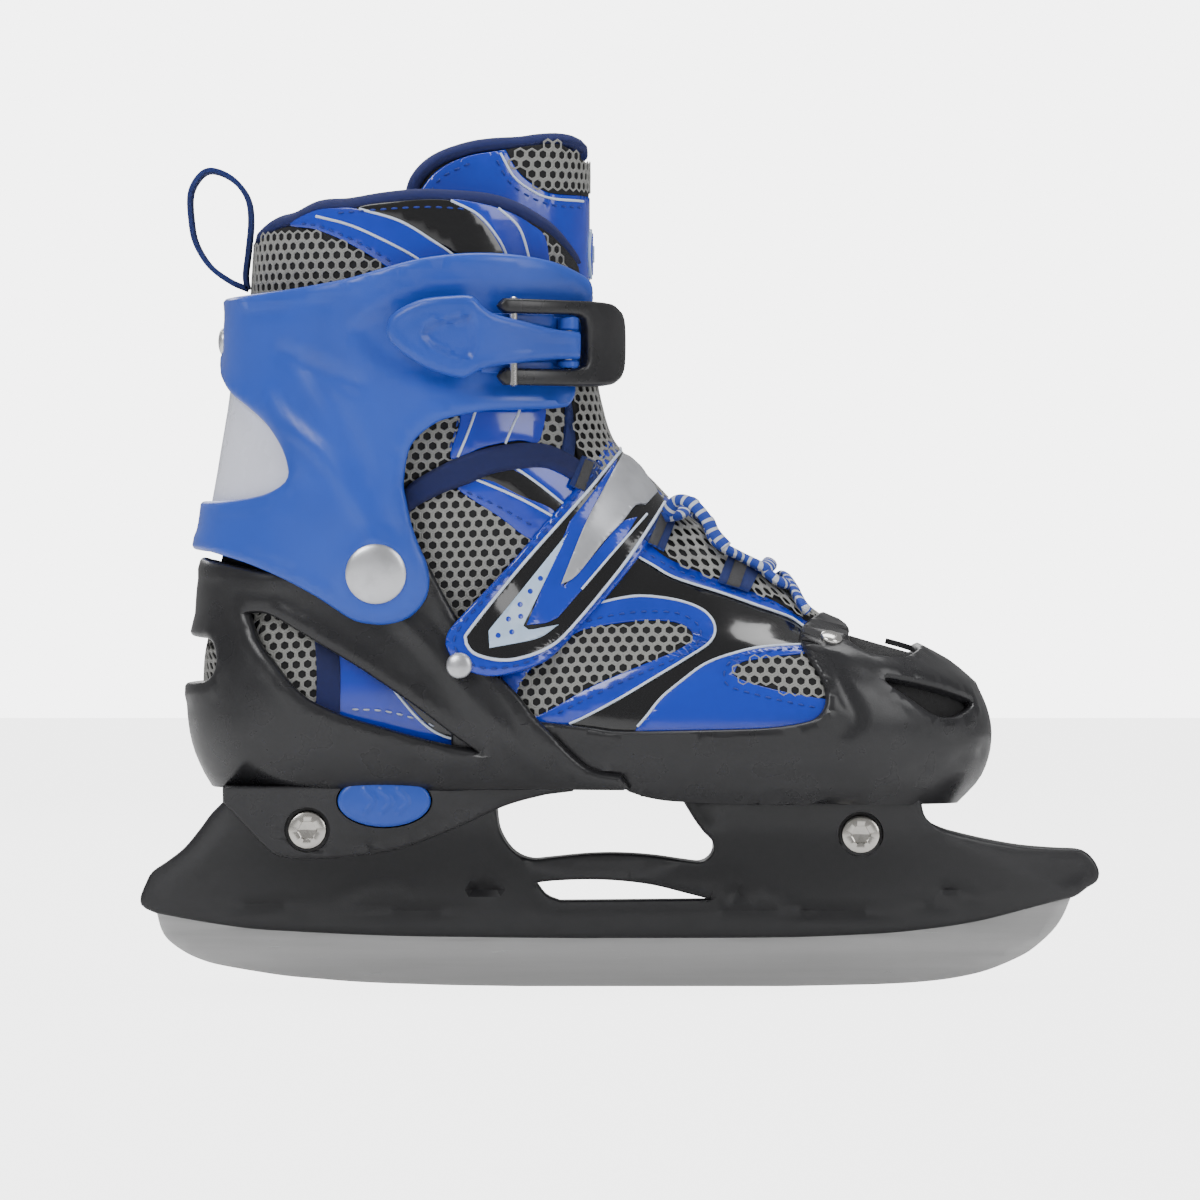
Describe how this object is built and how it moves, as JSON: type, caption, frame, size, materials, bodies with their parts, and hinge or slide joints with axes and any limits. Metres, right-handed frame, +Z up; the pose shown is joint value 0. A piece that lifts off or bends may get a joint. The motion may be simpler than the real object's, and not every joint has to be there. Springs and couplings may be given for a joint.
{
  "type": "ice skate",
  "caption": "Child's size-adjustable ice skate: hinged cuff with lever buckle, sliding toe shell, padded liner, instep strap and steel blade in a moulded holder.",
  "frame": {"origin": "on the ice, in the middle of the flat of the blade's running edge, in the blade's own plane", "axes": "+X to the toe, +Z up the shaft, +Y to the inner side of the foot"},
  "size_m": [0.2875, 0.1012, 0.2547],
  "materials": {
    "blade_steel": "ground steel, fine lengthwise grain",
    "holder_black": "moulded black, satin",
    "shell_black": "moulded black, satin",
    "cuff_blue": "moulded blue, satin sheen",
    "buckle_blue": "moulded blue, satin",
    "trim_black": "moulded black, satin",
    "panel_white": "milky translucent white",
    "bolt_steel": "bright nickel-plated steel",
    "rivet_steel": "nickel plated",
    "liner_fabric": "padded synthetic and spacer mesh",
    "tongue_fabric": "padded synthetic",
    "insole_fabric": "felt",
    "strap_fabric": "printed synthetic with sewn border",
    "webbing_blue": "woven webbing",
    "lace_blue": "braided round lace"
  },
  "bodies": {
    "chassis": {"blade": "blade_steel", "blade_holder": "holder_black", "front_bolt": "bolt_steel", "front_nut": "bolt_steel", "rear_bolt": "bolt_steel", "rear_nut": "bolt_steel", "heel_shell": "shell_black", "liner_foot": "liner_fabric", "tongue_lower": "tongue_fabric", "insole": "insole_fabric", "power_strap": "strap_fabric", "ring_webbing": "strap_fabric", "strap_ring": "trim_black", "strap_rivet_outer": "rivet_steel", "strap_rivet_inner": "rivet_steel", "lace_loop_upper_outer": "webbing_blue", "lace_loop_upper_inner": "webbing_blue", "lace_loop_lower_outer": "webbing_blue", "lace_loop_lower_inner": "webbing_blue", "lace_loop_ankle_outer": "webbing_blue", "lace_loop_ankle_inner": "webbing_blue", "lace": "lace_blue", "ankle_rivet_outer": "rivet_steel", "ankle_rivet_inner": "rivet_steel", "button_spring": "rivet_steel"},
    "toe": {"toe_shell": "shell_black", "toe_rivet_outer": "rivet_steel", "toe_rivet_inner": "rivet_steel", "liner_toe": "liner_fabric"},
    "button": {"size_button": "buckle_blue"},
    "cuff": {"cuff_shell": "cuff_blue", "back_panel": "panel_white", "back_rivet": "rivet_steel", "liner_collar": "liner_fabric", "tongue_upper": "tongue_fabric", "pull_loop": "webbing_blue", "ladder_strap": "trim_black", "ladder_rivet": "rivet_steel", "buckle_base": "buckle_blue", "base_rivet": "rivet_steel", "lever_pin": "rivet_steel"},
    "lever": {"buckle_lever": "buckle_blue", "bail_pin": "rivet_steel"},
    "bail": {"buckle_bail": "trim_black"}
  },
  "joints": [
    {"name": "size_slide", "type": "slide", "parent": "chassis", "child": "toe", "axis": [1, 0, 0], "range_m": [0, 0.02]},
    {"name": "button_press", "type": "slide", "parent": "chassis", "child": "button", "axis": [0, 1, 0], "range_m": [0, 0.003], "stiffness_N_per_m": 600, "springref_m": -0.001, "deforming": ["button_spring"]},
    {"name": "cuff_lean", "type": "hinge", "parent": "chassis", "child": "cuff", "pos_m": [-0.072, 0, 0.1235], "axis": [0, 1, 0], "range_deg": [0, 9]},
    {"name": "lever_open", "type": "hinge", "parent": "cuff", "child": "lever", "pos_m": [-0.0155, -0.03364, 0.191], "axis": [0, 0, 1], "range_deg": [0, 110]},
    {"name": "bail_swing", "type": "hinge", "parent": "lever", "child": "bail", "pos_m": [-0.0315, -0.04407, 0.191], "axis": [0, 0, 1], "range_deg": [-110, 0]}
  ],
  "couplings": [
    {"joint": "bail_swing", "follows": "lever_open", "ratio": -1}
  ]
}
